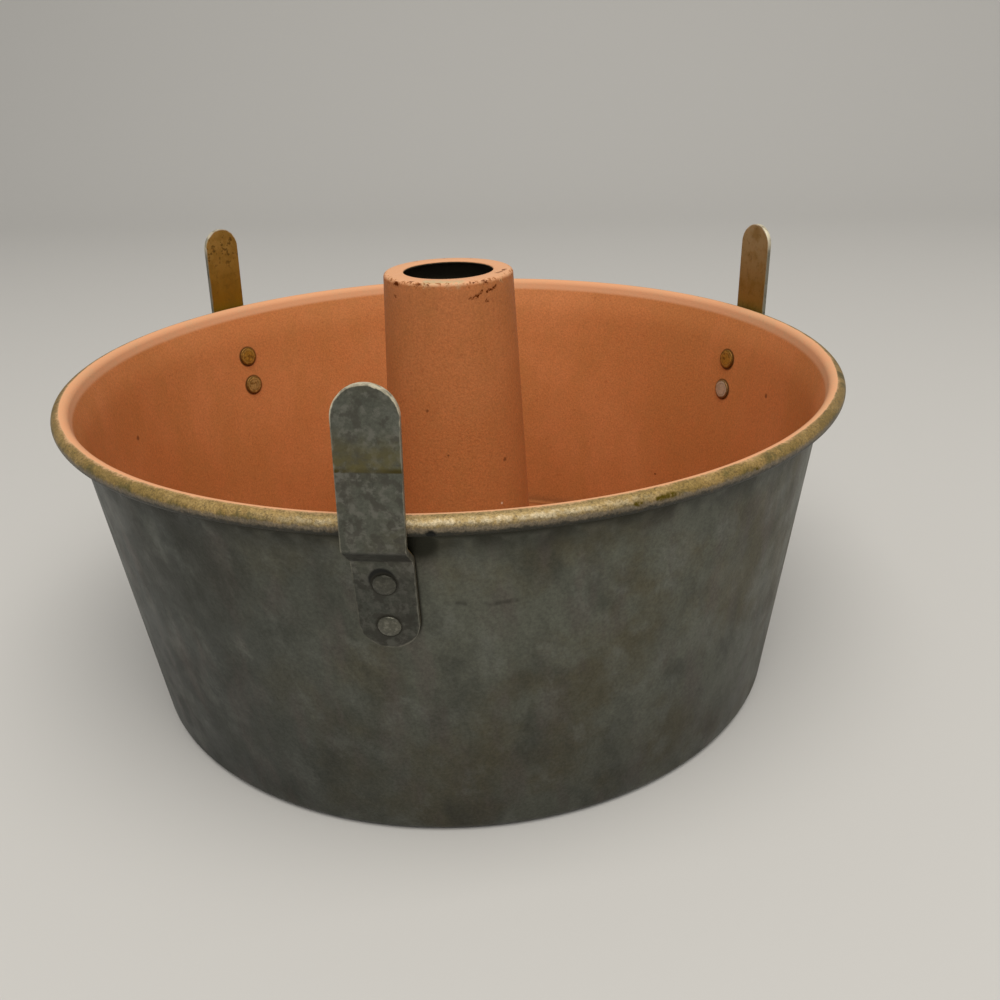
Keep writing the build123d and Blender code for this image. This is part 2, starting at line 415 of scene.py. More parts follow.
class Finish(Nodes):
    """One material, and short calls for what it is mixed from. Noise and the heights of fades
    are given in millimetres, points and distances in metres."""

    def __init__(self, name):
        self.material = bpy.data.materials.new(name)
        self.material.use_nodes = True
        super().__init__(self.material.node_tree)
        self.shader = self.tree.nodes["Principled BSDF"]
        self.place = self.add("ShaderNodeTexCoord").outputs["Object"]
        self.x, self.y, self.z = self.split(self.place)

    def fade(self, value, low, high, start=0.0, end=1.0):
        """Goes smoothly from start to end while the value goes from low to high."""
        ends = {"Value": value, "From Min": low, "From Max": high, "To Min": start, "To Max": end}
        return self.out("ShaderNodeMapRange", ends, interpolation_type="SMOOTHSTEP")

    def fall(self, value, low, high):
        """Goes smoothly from 1 to 0 while the value goes from low to high."""
        return self.fade(value, low, high, 1.0, 0.0)

    def rise(self, low, high, start=0.0, end=1.0, above=0.0):
        """Fade up the axis, between two heights above a level."""
        return self.fade(self.z, above + low * MM, above + high * MM, start, end)

    def across(self, low, high, start=0.0, end=1.0):
        """Fade from left to right, between two shares of the rim's radius."""
        return self.fade(self.x, low * rim_radius, high * rim_radius, start, end)

    def cloud(self, size, detail=3.0, roughness=0.55, place=None):
        """Soft noise whose patches are about as wide as the size."""
        sockets = {"Vector": place or self.place, "Scale": 1 / (size * MM)}
        sockets.update({"Detail": detail, "Roughness": roughness})
        return self.out("ShaderNodeTexNoise", sockets)

    def patches(self, size, low, high, amount=1.0, detail=3.0, place=None):
        """Where the soft noise is over its limits, up to the amount."""
        return self.fade(self.cloud(size, detail, 0.6, place), low, high, 0.0, amount)

    def blend(self, amount, under, over, kind="MIX"):
        sockets = {0: amount, 6: under, 7: over}
        return self.add("ShaderNodeMix", sockets, data_type="RGBA", blend_type=kind).outputs[2]

    def pick(self, amount, under, over):
        """The same for plain numbers."""
        return self.out("ShaderNodeMix", {0: amount, 2: under, 3: over}, data_type="FLOAT")

    def ragged(self, size, reach):
        """Coordinates shaken by noise, for marks with uneven edges."""
        sockets = {"Vector": self.place, "Scale": 1 / (size * MM), "Detail": 3.0}
        shake = self.add("ShaderNodeTexNoise", sockets).outputs["Color"]
        centred = self.vector("SUBTRACT", shake, (0.5, 0.5, 0.5))
        shift = self.vector("MULTIPLY", centred, [reach * MM] * 3)
        return self.vector("ADD", self.place, shift)

    def near(self, point, inner, outer, place=None):
        """1 within the inner distance of a point, 0 past the outer."""
        away = self.vector("DISTANCE", place or self.place, point, "Value")
        return self.fall(away, inner, outer)

    def near_line(self, start, end, inner, outer, place=None):
        """1 within the inner distance of the line from start to end, 0 past the outer."""
        run = end - start
        from_start = self.vector("SUBTRACT", place or self.place, start)
        along = self.vector("DOT_PRODUCT", from_start, run / run.length_squared, "Value")
        share = self.out("ShaderNodeClamp", {"Value": along})
        nearest = self.vector("MULTIPLY", self.point(share, share, share), run)
        away = self.vector("DISTANCE", from_start, nearest, "Value")
        return self.fall(away, inner, outer)

    def attribute(self, name):
        return self.add("ShaderNodeAttribute", attribute_name=name).outputs["Fac"]

    def from_axis(self):
        flat = self.vector("MULTIPLY", self.place, (1, 1, 0))
        return self.vector("LENGTH", flat, output="Value")

    def turned(self, angle_per_metre, squash):
        """Coordinates twisted up the axis, so that patches become slanting streaks."""
        sockets = {"Vector": self.place, "Angle": self.times(self.z, angle_per_metre)}
        twisted = self.out("ShaderNodeVectorRotate", sockets, rotation_type="Z_AXIS")
        return self.vector("MULTIPLY", twisted, (1, 1, squash))

    def specks(self, spacing, size, share):
        """Small round spots in a share of the cells."""
        sockets = {"Vector": self.place, "Scale": 1 / (spacing * MM), "Randomness": 1.0}
        cells = self.add("ShaderNodeTexVoronoi", sockets).outputs
        chance = self.out("ShaderNodeSeparateColor", {0: cells["Color"]})
        spot = self.fall(cells["Distance"], 0.4 * size / spacing, size / spacing)
        return self.times(self.fall(chance, 0.7 * share, share), spot)

    def finish(self, colour, metallic, roughness, height, depth, shine=0.5):
        """Feeds the shader. Height is from 0 to 1 over the depth, in metres."""
        bump = self.out("ShaderNodeBump", {"Strength": 1.0, "Distance": depth, "Height": height})
        values = {"Base Color": colour, "Metallic": metallic, "Roughness": roughness}
        values.update({"Specular IOR Level": shine, "Normal": bump})
        for socket, value in values.items():
            self.feed(self.shader.inputs[socket], value)
        return self.material


class Layer:
    """A colour that others are laid on."""

    def __init__(self, mix, amount, under, over):
        self.mix = mix
        self.colour = mix.blend(amount, under, over)

    def cover(self, amount, over):
        self.colour = self.mix.blend(amount, self.colour, over)

    def stain(self, amount, red, green, blue):
        self.cover(amount, (red, green, blue))

    def shade(self, factor):
        """Darker or lighter by a factor, or by a colour."""
        self.colour = self.mix.blend(1.0, self.colour, factor, "MULTIPLY")


def around(azimuth, radius, height):
    """Point about the axis. Azimuth is in degrees from the front leg."""
    turn = math.radians(azimuth)
    return Vector((radius * math.sin(turn), -radius * math.cos(turn), height))


def on_wall(azimuth, height, depth=wall_gauge):
    """Point on the leaning wall, at a depth outwards from its food side."""
    return around(azimuth, wall_offset(height, depth), height)


def rim_point(azimuth, rise):
    """Point on the rolled rim, at an angle in degrees above outwards."""
    return around(azimuth, *(roll_center + heading(math.radians(rise)) * roll_radius))


def lay_coating(mix):
    """Matt terracotta release coating: even, with a fine grain and a few dark specks."""
    broad = mix.patches(60, 0.35, 0.65)
    layer = Layer(mix, broad, (0.53, 0.187, 0.057), (0.58, 0.215, 0.073))
    brown = mix.patches(26, 0.44, 0.62, 0.5, 4, mix.turned(1.0, 0.4))
    layer.stain(brown, 0.47, 0.180, 0.050)
    grain = mix.cloud(0.8, 3, 0.75)
    layer.shade(mix.fade(grain, 0.25, 0.75, 0.83, 1.17))
    layer.stain(mix.patches(6.0, 0.40, 0.70, 0.25, 4), 0.46, 0.195, 0.060)
    layer.stain(mix.patches(1.8, 0.62, 0.74, 0.35, 2), 0.34, 0.100, 0.028)
    layer.stain(mix.specks(16, 0.7, 0.10), 0.14, 0.045, 0.012)
    roughness = mix.fade(mix.cloud(1.6, 2), 0.3, 0.7, 0.50, 0.62)
    return layer, roughness, grain


def lay_tarnish(mix):
    """Oven-darkened aluminium: cloudy grey with olive-brown patches, faint smears and grain."""
    # Dark on the left to light on the right, a painted shade; the olive patches show only on the
    # lighter side.
    side = mix.across(-0.6, 0.2)
    layer = Layer(mix, side, (0.058, 0.064, 0.056), (0.116, 0.120, 0.094))
    olive = mix.patches(30, 0.42, 0.62, 0.9, 4)
    layer.stain(mix.times(olive, side), 0.094, 0.084, 0.052)
    smoke = mix.patches(16, 0.45, 0.68, 0.6, 5, mix.turned(1.0, 0.6))
    layer.stain(smoke, 0.046, 0.048, 0.038)
    violet = mix.patches(9, 0.48, 0.70, 0.55, 4, mix.turned(0.6, 0.30))
    layer.stain(violet, 0.104, 0.088, 0.076)
    pale = mix.patches(11, 0.50, 0.72, 0.5, 5, mix.turned(1.5, 0.8))
    layer.stain(pale, 0.160, 0.166, 0.144)
    smears = mix.cloud(3.2, 3, 0.6, mix.turned(1.5, 0.4))
    layer.shade(mix.fade(smears, 0.3, 0.7, 0.94, 1.06))
    grain = mix.cloud(1.0, 3, 0.78)
    layer.shade(mix.fade(grain, 0.25, 0.75, 0.80, 1.22))
    roughness = mix.fade(mix.cloud(14, 4, 0.6), 0.3, 0.7, 0.44, 0.60)
    return layer, roughness, grain


def lay_residue(mix):
    """Rim metal: speckled tan with golden-olive patches, a painted cream highlight in front, and
    painted shade on the roll's underside.
    """
    fine = mix.cloud(0.55, 3, 0.8)
    wander = mix.fade(mix.cloud(1.6, 4, 0.75), 0.2, 0.8, -0.6 * MM, 0.6 * MM)
    level = mix.plus(mix.z, wander)

    def on_roll(low, high, start=0.0, end=1.0):
        """Fade between two heights, as shares of the roll's radius above its middle."""
        low, high = roll_center.y + low * roll_radius, roll_center.y + high * roll_radius
        return mix.fade(level, low, high, start, end)

    tan = mix.patches(2.4, 0.35, 0.65)
    layer = Layer(mix, tan, (0.30, 0.196, 0.068), (0.355, 0.243, 0.094))
    layer.stain(mix.times(mix.patches(11, 0.42, 0.58, 0.85), 0.85), 0.235, 0.160, 0.050)
    olive = mix.times(mix.patches(5, 0.46, 0.60, 0.8), on_roll(0.2, 0.8, 1.0, 0.0))
    layer.stain(olive, 0.115, 0.090, 0.024)
    layer.stain(mix.patches(8, 0.56, 0.66, 0.7, 4), 0.090, 0.082, 0.030)
    # A paler front and a cream line across the middle of the roll in front are a painted highlight.
    off_center = mix.work("ABSOLUTE", mix.work("SUBTRACT", mix.x, 20 * MM))
    cream_highlight = mix.times(
        mix.fall(off_center, 20 * MM, 58 * MM),
        mix.fall(mix.y, -0.9 * rim_radius, -0.7 * rim_radius),
    )
    layer.stain(mix.times(cream_highlight, 0.7), 0.32, 0.232, 0.108)
    cream_highlight = mix.times(cream_highlight, on_roll(0.25, 0.45), on_roll(0.60, 0.85, 1.0, 0.0))
    cream_highlight = mix.times(cream_highlight, mix.patches(2.0, 0.32, 0.60, 0.8, 4))
    layer.stain(cream_highlight, 0.50, 0.42, 0.28)
    # The roll goes grey and then dark towards its underside, a painted shade.
    layer.stain(on_roll(0.0, 0.45, 0.85, 0.0), 0.165, 0.138, 0.105)
    layer.stain(on_roll(-0.45, 0.0, 0.97, 0.0), 0.036, 0.035, 0.027)
    layer.shade(mix.fade(fine, 0.3, 0.7, 0.66, 1.34))
    layer.stain(mix.patches(0.9, 0.57, 0.68, 0.6, 3), 0.10, 0.070, 0.034)
    ragged = mix.ragged(1.5, 1.4)
    stained = mix.patches(1.1, 0.34, 0.50, 1.0, 3)
    stains = [(27.2, 27.9, 16, 0.55), (29.9, 31.9, 20, 0.65), (44.0, 44.4, 10, 0.35)]
    for first, last, rise, width in stains:
        start, end = rim_point(first, rise), rim_point(last, rise)
        spot = mix.near_line(start, end, 0.4 * width * MM, 1.7 * width * MM, ragged)
        layer.stain(mix.times(spot, stained), 0.085, 0.058, 0.001)
    black = mix.near(rim_point(5.8, -27), 0.8 * MM, 1.7 * MM, mix.ragged(1.2, 0.8))
    layer.stain(black, 0.006, 0.006, 0.005)
    # Darker towards the far left and the far right, a painted shade.
    layer.shade(mix.across(-0.98, -0.75, 0.68, 1.0))
    layer.shade(mix.across(0.7, 0.95, 1.0, 0.86))
    return layer, mix.fade(fine, 0.3, 0.7, 0.42, 0.55)


def soot_and_shadow_on_wall(mix):
    """Dark marks on the outer wall: soot with painted shadow below the rim, a painted shadow line
    just under it, soot in a smoky patch and left of the front leg, painted shadow right of the front
    leg, and grime with painted shadow round the straps.
    """
    # Patchy darkening below the rim, partly soot and partly a painted shadow of the rim.
    below_rim = mix.times(mix.rise(-18, -6, above=pan_height), mix.patches(8, 0.25, 0.6, 0.9))
    # A dark band just under the rim, a painted shadow.
    line = mix.rise(-11, -6.8, 0.0, 0.95, above=pan_height)
    smoky = mix.times(
        mix.near(on_wall(-28, 99 * MM), 12 * MM, 52 * MM),
        mix.patches(13, 0.36, 0.58, 0.55, 4, mix.turned(1.5, 0.6)),
    )
    left_of_leg = mix.times(
        mix.rise(-16, -8.5, above=pan_height),
        mix.across(-0.4, -0.05, 0.9, 0.0),
        mix.patches(9, 0.28, 0.55, 1.0, 4),
    )
    # A dark patch right of the front leg under the rim, a painted shadow of the leg.
    corner = mix.times(mix.near(on_wall(4.3, pan_height - 9.5 * MM), 3 * MM, 8 * MM), 0.95)
    # A dark line round each strap, partly grime and partly a painted shadow.
    edge = 0.5 * leg_width
    outlines = []
    for azimuth in leg_azimuths.values():
        low, high = on_wall(azimuth, leg_foot + edge), on_wall(azimuth, flare_height)
        outlines.append(mix.near_line(low, high, edge, edge + 0.9 * MM))
    outline = mix.times(mix.larger(*outlines), 0.9)
    return mix.larger(below_rim, line, smoky, left_of_leg, corner, outline)


def ring_finish():
    """Coating inside, tarnish outside, residue on the bare part of the rolled rim."""
    mix = Finish("tarnished_aluminium_ring")
    coat = mix.plus(
        mix.across(-1, -0.72, -0.21, -0.15),
        mix.across(0.70, 0.9, 0.0, -0.08),
        mix.fade(mix.y, -rim_radius, -0.8 * rim_radius, -0.08, 0.0),
        mix.attribute("coat"),
        mix.fade(mix.cloud(1.0, 4, 0.8), 0.2, 0.8, -0.16, 0.16),
        mix.fade(mix.cloud(9, 2, 0.5), 0.3, 0.7, -0.08, 0.08),
    )
    coated = mix.fade(coat, 0.30, 0.66)
    coating, coating_rough, coating_grain = lay_coating(mix)
    # Darker low down and lighter high up inside, a painted shade.
    coating.shade(mix.rise(8, 100, 0.91, 1.05))
    # Lighter towards the right inside, painted light.
    coating.shade(mix.across(0.55, 0.88, 1.0, 1.06))
    # Paler near the top of the rim, partly wear and partly a painted highlight on the rim's top.
    wear_and_highlight = mix.fade(mix.z, pan_height - 1.7 * roll_radius, pan_height - 1.2 * roll_radius, 0.0, 0.95)
    coating.stain(wear_and_highlight, 0.73, 0.362, 0.192)
    thin = mix.times(wear_and_highlight, mix.fade(coat, 0.50, 0.92, 0.55, 0.0))
    coating.stain(thin, 0.54, 0.385, 0.225)
    # Darker in the bottom corner inside, a painted shade.
    coating.shade(mix.rise(1.5, 7, 0.72, 1.0))
    heads = [on_wall(a, h, 0) for a in leg_azimuths.values() for h in rivet_heights.values()]
    # A dark ring round each flat head on the coating, partly grime and partly painted shade at the
    # head's edge.
    inner, outer = flat_head_radius + 0.3 * MM, flat_head_radius + 0.9 * MM
    grime_and_shade = mix.larger(*[mix.near(head, inner, outer) for head in heads])
    coating.stain(mix.times(grime_and_shade, 0.9), 0.105, 0.045, 0.008)
    for spot in [(-124.4, -2.4, 80.8), (119.3, 37.1, 85.4)]:
        dot = mix.near(mm(*spot), 0.5 * MM, 1.3 * MM, mix.ragged(1.0, 0.8))
        coating.stain(mix.times(dot, 0.75), 0.13, 0.034, 0.010)

    tarnish, tarnish_rough, tarnish_grain = lay_tarnish(mix)
    # Darker towards the bottom of the wall and much darker right at the table, a painted shade.
    tarnish.shade(mix.fade(mix.z, 0.0, 0.8 * pan_height, 0.64, 1.0))
    tarnish.shade(mix.rise(0.2, 1.8, 0.35, 1.0))
    # Darker and bluer at the far left, a painted shade with a painted bluish reflection.
    far_left = mix.across(-0.9, -0.72, 1.0, 0.0)
    tarnish.shade(mix.blend(far_left, (1.0, 1.0, 1.0), (0.60, 0.74, 0.88)))
    # Soot, with painted shadow under the rim, right of the front leg and round the straps, laid on
    # the tarnish.
    soot_and_shadow = soot_and_shadow_on_wall(mix)
    tarnish.stain(soot_and_shadow, 0.022, 0.022, 0.015)
    ragged = mix.ragged(2, 1.2)
    dashes = [((6.6, 84.9), (8.9, 84.6)), ((11.2, 83.9), (13.0, 84.1)), ((13.4, 84.2), (15.3, 84.4))]
    scuffs = []
    for dash in dashes:
        start, end = [on_wall(azimuth, height * MM) for azimuth, height in dash]
        scuffs.append(mix.near_line(start, end, 0.2 * MM, 1.1 * MM, ragged))
    scuff = mix.times(mix.larger(*scuffs), mix.patches(2, 0.35, 0.6, 0.6))
    tarnish.stain(scuff, 0.030, 0.028, 0.022)

    residue, residue_rough = lay_residue(mix)
    on_bead = mix.fade(mix.z, pan_height - 2.15 * roll_radius, pan_height - 1.6 * roll_radius)
    coating_rough = mix.pick(mix.rise(2, 8), 0.95, coating_rough)
    coating_rough = mix.pick(wear_and_highlight, coating_rough, 0.8)
    bare_shine = mix.fade(soot_and_shadow, 0.5, 1.0, 0.5, 0.15)
    return mix.finish(
        mix.blend(coated, mix.blend(on_bead, tarnish.colour, residue.colour), coating.colour),
        mix.pick(coated, mix.pick(on_bead, 0.65, 0.35), 0.0),
        mix.pick(coated, mix.pick(on_bead, tarnish_rough, residue_rough), coating_rough),
        mix.pick(coated, tarnish_grain, coating_grain),
        0.10 * MM,
        mix.pick(coated, bare_shine, mix.pick(wear_and_highlight, 0.3, 0.1)),
    )


# Chips and cracks near the tube's top: start, end and width, in mm
tube_marks = [
    ((9.9, -20.6, 138.2), (11.2, -19.9, 138.5), 0.22),
    ((11.2, -19.9, 138.5), (13.0, -18.8, 139.3), 0.30),
    ((12.7, -19.0, 139.1), (13.7, -18.2, 140.1), 0.32),
    ((15.4, -16.8, 140.0), (16.7, -15.5, 140.3), 0.30),
    ((16.7, -15.5, 140.3), (18.0, -13.8, 140.9), 0.36),
    ((15.2, -17.2, 136.9), (15.6, -16.8, 136.9), 0.30),
    ((-16.4, -15.9, 138.9), (-15.6, -16.7, 138.0), 0.18),
    ((-15.8, -16.2, 142.6), (-14.6, -17.3, 142.6), 0.45),
    ((-9.6, -19.4, 143.8), (-9.0, -19.4, 143.8), 0.35),
    ((-7.2, -21.6, 143.6), (-6.4, -21.7, 143.6), 0.40),
    ((-4.4, -22.2, 143.2), (-3.8, -22.3, 143.2), 0.35),
    ((10.4, -20.0, 143.7), (11.9, -19.4, 143.7), 0.35),
    ((14.2, -17.4, 143.2), (15.2, -16.6, 143.2), 0.40),
    ((17.6, -6.6, 143.8), (19.0, -4.2, 143.8), 0.35),
    ((19.3, -2.4, 143.8), (20.0, 0.0, 143.8), 0.35),
    ((-14.8, 15.4, 143.7), (-13.8, 16.4, 143.7), 0.35),
    ((-6.0, 20.8, 143.7), (-3.5, 21.4, 143.7), 0.30),
    ((4.0, 21.4, 143.7), (6.5, 20.8, 143.7), 0.30),
]


def tube_finish():
    """Coating outside and on the flat top, with worn and chipped edges, a paler top and top corner
    that are partly painted highlight, painted shade high on the side, bare metal inside.
    """
    mix = Finish("terracotta_tube")
    frayed = mix.fade(mix.cloud(1.2, 3, 0.7), 0.2, 0.8, -0.3, 0.3)
    coated = mix.fade(mix.plus(mix.attribute("coat"), frayed), 0.46, 0.54)
    coating, coating_rough, grain = lay_coating(mix)
    coating.shade((0.96, 0.94, 0.93))
    # Darker over the upper part of the side, a painted shade.
    coating.shade(mix.rise(-24, -4, 1.0, 0.94, above=tube_height))
    # Paler on the flat top, partly wear and partly a painted highlight.
    top = mix.rise(-1.5, -0.1, 0.0, 0.7, above=tube_height)
    coating.stain(top, 0.80, 0.445, 0.250)

    start, end = mm(-4, -19.8, 143.8), mm(6, -20.0, 143.8)
    wear_and_highlight = mix.near_line(start, end, 1.0 * MM, 3.2 * MM, mix.ragged(1.6, 2.6))
    coating.stain(mix.times(wear_and_highlight, mix.patches(1.8, 0.34, 0.50, 0.9, 4)), 0.53, 0.41, 0.23)
    radius = mix.from_axis()
    corner = mix.times(
        mix.fade(radius, tube_top_radius - 2.4 * MM, tube_top_radius - 1.0 * MM),
        mix.rise(-3.0, -1.5, above=tube_height),
    )
    # Paler in patches round the top corner, partly wear and partly a painted highlight on the rounded
    # edge.
    coating.stain(mix.times(corner, mix.patches(2.0, 0.56, 0.66, 0.5, 4)), 0.78, 0.52, 0.27)
    rim = mix.times(
        mix.fade(radius, tube_top_radius - 1.3 * MM, tube_top_radius - 0.7 * MM),
        mix.rise(-1.2, -0.5, above=tube_height),
    )
    chips = mix.larger(
        mix.times(corner, mix.patches(1.0, 0.59, 0.64, 0.8, 4)),
        mix.times(rim, mix.patches(1.6, 0.54, 0.60, 0.8, 4)),
    )
    coating.stain(mix.times(chips, 0.95), 0.25, 0.072, 0.012)
    ragged = mix.ragged(0.9, 2.4)
    cracks = []
    for start, end, width in tube_marks:
        start, end = mm(*start), mm(*end)
        cracks.append(mix.near_line(start, end, 0.6 * width * MM, 2.4 * width * MM, ragged))
    cracks = mix.times(mix.larger(*cracks), mix.patches(0.8, 0.34, 0.46))
    coating.stain(cracks, 0.105, 0.020, 0.001)
    ragged = mix.ragged(0.8, 1.0)
    for spot, size in [((-6.2, -23.8, 100.1), 0.6), ((19.6, -16.3, 79.3), 0.8)]:
        dot = mix.near(mm(*spot), 0.5 * size * MM, 1.3 * size * MM, ragged)
        coating.stain(mix.times(dot, 0.8), 0.15, 0.050, 0.012)
    glint = mix.near(mm(18.3, -18.8, 63), 0.2 * MM, 0.6 * MM)
    coating.stain(glint, 0.85, 0.60, 0.42)

    colour = mix.blend(coated, (0.10, 0.09, 0.06), coating.colour)
    metallic = mix.fade(coated, 0.0, 1.0, 0.8, 0.0)
    roughness = mix.pick(coated, 0.6, coating_rough)
    shine = mix.pick(mix.larger(cracks, chips), 0.3, 0.02)
    return mix.finish(colour, metallic, roughness, grain, 0.10 * MM, shine)


def plate_finish():
    """Coating on top, bare metal below."""
    mix = Finish("terracotta_plate")
    coated = mix.fade(mix.attribute("coat"), 0.3, 0.7)
    coating, _, grain = lay_coating(mix)
    # The coating is darker all over, a painted shade on the pan's floor.
    coating.shade((0.68, 0.65, 0.63))
    # Darker still towards the edge by the wall, a painted shade in the corner.
    edge = base_radius - corner_radius - plate_edge_clearance
    coating.shade(mix.fade(mix.from_axis(), edge - 5 * MM, edge - 1 * MM, 1.0, 0.72))
    tarnish, tarnish_rough, _ = lay_tarnish(mix)
    colour = mix.blend(coated, tarnish.colour, coating.colour)
    metallic = mix.pick(coated, 0.65, 0.0)
    roughness = mix.pick(coated, tarnish_rough, 0.9)
    return mix.finish(colour, metallic, roughness, grain, 0.10 * MM, mix.pick(coated, 0.5, 0.1))


def mark_front_leg(mix, metal):
    """An oily band that ends in a sharp dark line, and a short scratch."""
    band = mix.times(
        mix.rise(125.5, 126.1),
        mix.rise(126.5, 137, 1.0, 0.0),
        mix.patches(3.5, 0.25, 0.65, 0.85),
    )
    metal.stain(band, 0.125, 0.105, 0.035)
    line = mix.times(
        mix.rise(125.4, 125.8),
        mix.rise(126.1, 127.1, 1.0, 0.0),
        mix.fade(mix.work("ABSOLUTE", mix.x), 3 * MM, 7 * MM, 0.45, 1.0),
        mix.patches(2.5, 0.30, 0.50),
    )
    metal.stain(line, 0.055, 0.042, 0.006)
    start, end = mm(5.2, -137, 111.6), mm(7.8, -137, 112.1)
    scratch = mix.near_line(start, end, 0.1 * MM, 0.45 * MM)
    metal.stain(mix.times(scratch, 0.25), 0.28, 0.27, 0.24)


def strap_finish(side):
    """Strap aluminium: mottled grey outside, oil-browned inside, pale edges that are partly wear and
    partly painted highlight, and painted shade low down and under the joggle.
    """
    mix = Finish(f"strap_aluminium_{side}")
    metal, roughness, grain = lay_tarnish(mix)
    metal.stain(mix.patches(2.6, 0.48, 0.62, 0.75, 4), 0.180, 0.176, 0.148)
    metal.stain(mix.patches(3.2, 0.50, 0.60, 0.75, 5), 0.070, 0.066, 0.052)
    # Darker below the joggle and towards the lower end of the upright, a painted shade.
    metal.shade(mix.rise(92, 98, 0.58, 0.92))
    metal.shade(mix.rise(108, 130, 0.90, 1.0))
    # Dark across the joggle, a painted shade under the bend.
    bend = mix.times(mix.rise(98, 100), mix.rise(103.5, 106, 1.0, 0.0))
    metal.shade(mix.fade(bend, 0.0, 1.0, 1.0, 0.45))
    if side == "front":
        mark_front_leg(mix, metal)
    ragged = mix.ragged(2, 0.8)
    for level, height in rivet_heights.items():
        head = on_wall(leg_azimuths[side], height, wall_gauge + leg_wall_gap + leg_gauge)
        if level == "upper":
            shadow = head + mm(-0.4, 0, 1.3)
            above = mix.near(shadow, crown_radius, crown_radius + 0.8 * MM)
            metal.stain(mix.times(above, 0.97), 0.006, 0.006, 0.005)
        # A dark ring round each crown, partly grime and partly painted shade at its foot.
        grime_and_shade = mix.near(head, crown_radius + 0.1 * MM, crown_radius + 0.9 * MM, ragged)
        metal.stain(mix.times(grime_and_shade, 0.9), 0.022, 0.020, 0.013)

    brown = mix.fade(mix.z, pan_height, leg_top)
    if side == "rear_right":
        oil = Layer(mix, brown, (0.290, 0.172, 0.028), (0.42, 0.310, 0.145))
        most = 0.3
    else:
        oil = Layer(mix, brown, (0.290, 0.150, 0.003), (0.43, 0.265, 0.060))
        most = 1.0
    oil.stain(mix.patches(6, 0.42, 0.66, 0.6, 4), 0.24, 0.130, 0.008)
    spotted = mix.rise(-18, -12, 0.3, most, above=leg_top)
    spotted = mix.times(spotted, mix.patches(1.9, 0.55, 0.64, 0.8, 4))
    oil.stain(spotted, 0.105, 0.055, 0.004)
    inner = mix.fall(mix.attribute("outer"), 0.1, 0.2)
    metal.cover(inner, oil.colour)

    edge = mix.plus(mix.attribute("edge"), mix.fade(mix.cloud(3, 3), 0.3, 0.7, -0.12, 0.10))
    edge = mix.fade(edge, 0.80, 1.0)
    low_rim = mix.times(edge, mix.rise(-10, -5, 0.65, 0.0, above=leg_top))
    # On the front leg the pale edges fade in towards its right side, a painted highlight; the pale
    # edges themselves are wear.
    if side == "front":
        half = 0.5 * leg_width
        low_rim = mix.times(low_rim, mix.fade(mix.x, -half, half, 0.2, 1.0))
    metal.cover(low_rim, mix.blend(inner, (0.150, 0.145, 0.120), (0.155, 0.120, 0.065)))
    # Pale edges near the top, partly wear and partly a painted highlight where the edges face up.
    wear_and_highlight = mix.rise(-12, -4, 0.15, 1.0, above=leg_top)
    wear_and_highlight = mix.times(wear_and_highlight, mix.rise(92, 104, 0.4, 1.0))
    metal.stain(mix.times(edge, wear_and_highlight), 0.72, 0.66, 0.50)
    return mix.finish(metal.colour, 0.6, roughness, grain, 0.10 * MM)


def rivet_finish():
    """Soft aluminium rivets: tarnished crowns outside, oil-browned flat heads on the coating."""
    mix = Finish("rivet_aluminium")
    tone = mix.attribute("tone")
    share = mix.attribute("coat")
    crown = Layer(mix, tone, (0.090, 0.088, 0.068), (0.104, 0.101, 0.078))
    crown.stain(mix.patches(1.6, 0.50, 0.64, 0.6), 0.200, 0.193, 0.155)
    # The upper crowns are darker than the lower ones, a painted shade.
    middle = sum(rivet_heights.values()) / 2
    crown.shade(mix.fade(mix.z, middle, middle + 2 * MM, 1.0, 0.60))

    lower_left, lower_right = [
        mix.near(on_wall(leg_azimuths[side], rivet_heights["lower"], 0), 5 * MM, 6 * MM)
        for side in ("rear_left", "rear_right")
    ]
    head = Layer(mix, tone, (0.42, 0.195, 0.008), (0.45, 0.270, 0.045))
    head.stain(mix.times(lower_left, 0.7), 0.50, 0.360, 0.140)
    head.stain(mix.patches(1.8, 0.50, 0.62, 0.75), 0.17, 0.080, 0.008)
    # A lighter ring and a darker groove on the flat head, a painted highlight and a painted shade of
    # relief that the head's shape doesn't have.
    lip = mix.times(mix.fade(share, 0.62, 0.72), mix.fall(share, 0.76, 0.82))
    head.stain(mix.times(lip, 0.5), 0.50, 0.310, 0.080)
    head.stain(lower_right, 0.56, 0.50, 0.38)
    groove = mix.times(mix.fade(share, 0.56, 0.62), mix.fade(share, 0.64, 0.70, 0.35, 0.0))
    head.stain(groove, 0.14, 0.070, 0.016)
    # Darker round the head's edge and side, partly grime and partly painted shade.
    rim = mix.plus(share, mix.fade(mix.cloud(1.4, 3), 0.3, 0.7, -0.05, 0.05))
    head.stain(mix.fade(rim, 0.80, 0.90, 0.0, 0.90), 0.20, 0.095, 0.014)

    wall = mix.plus(mix.times(mix.z, math.tan(wall_taper)), base_radius)
    depth = mix.work("SUBTRACT", mix.from_axis(), wall)
    inner = mix.fall(depth, 0.0, wall_gauge)
    crown.cover(inner, head.colour)
    grain = mix.cloud(1.0, 3, 0.7)
    crown.shade(mix.fade(grain, 0.3, 0.7, 0.82, 1.18))
    return mix.finish(crown.colour, 0.6, mix.pick(inner, 0.34, 0.50), grain, 0.08 * MM)


# Pieces

spun_sheet = spun_sheet_tree()
rivet_pattern = rivet_pattern_tree()


def spin_piece(name, outline, coats, finish, steps, waviness=0.0, wavy_above=0.0, closed=True):
    """A sheet of revolution from its outline."""
    piece = draw_outline(name, outline, coats, closed)
    sizes = {
        "Guide radius": guide_radius,
        "Steps around": steps,
        "Waviness": waviness,
        "Wave length": 60 * MM,
        "Wavy above height": wavy_above,
        "Seed": 3.0,
        "Finish": finish,
    }
    run_tree(piece, spun_sheet, sizes)
    face_outwards(piece)
    return piece


